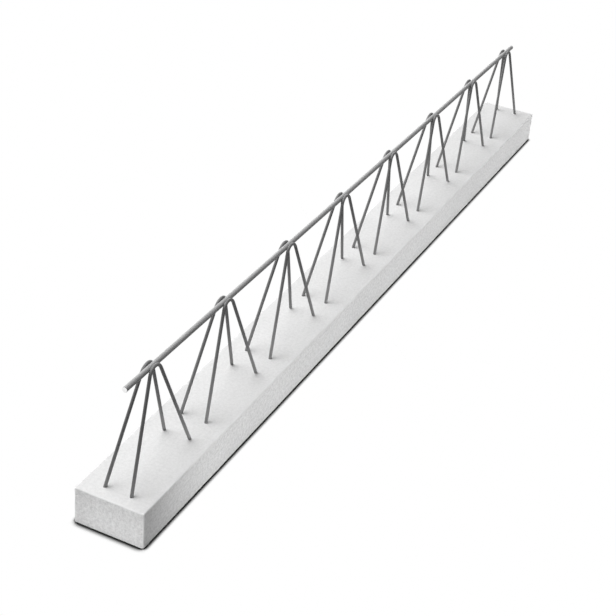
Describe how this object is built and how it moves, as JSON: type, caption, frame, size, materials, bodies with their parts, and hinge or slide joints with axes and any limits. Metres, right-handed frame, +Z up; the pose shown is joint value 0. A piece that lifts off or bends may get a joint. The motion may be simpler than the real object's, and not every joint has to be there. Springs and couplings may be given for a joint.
{
  "type": "precast floor beam",
  "caption": "Precast floor beam: a slim rectangular concrete foot with a welded steel lattice girder of one top chord and zigzag diagonals cast into it.",
  "frame": {"origin": "middle of the concrete foot's underside", "axes": "+X along the beam, +Y across it to the left seen from the -X end, +Z up through the girder"},
  "size_m": [1.6, 0.11, 0.2254],
  "materials": {
    "concrete": "fair-faced cast concrete",
    "chord_steel": "bare rolled",
    "wire_steel": "bare drawn"
  },
  "bodies": {
    "root": {"concrete_foot": "concrete", "top_chord": "chord_steel", "diagonal_left": "wire_steel", "diagonal_right": "wire_steel", "bottom_chord_left": "chord_steel", "bottom_chord_right": "chord_steel"}
  },
  "joints": []
}
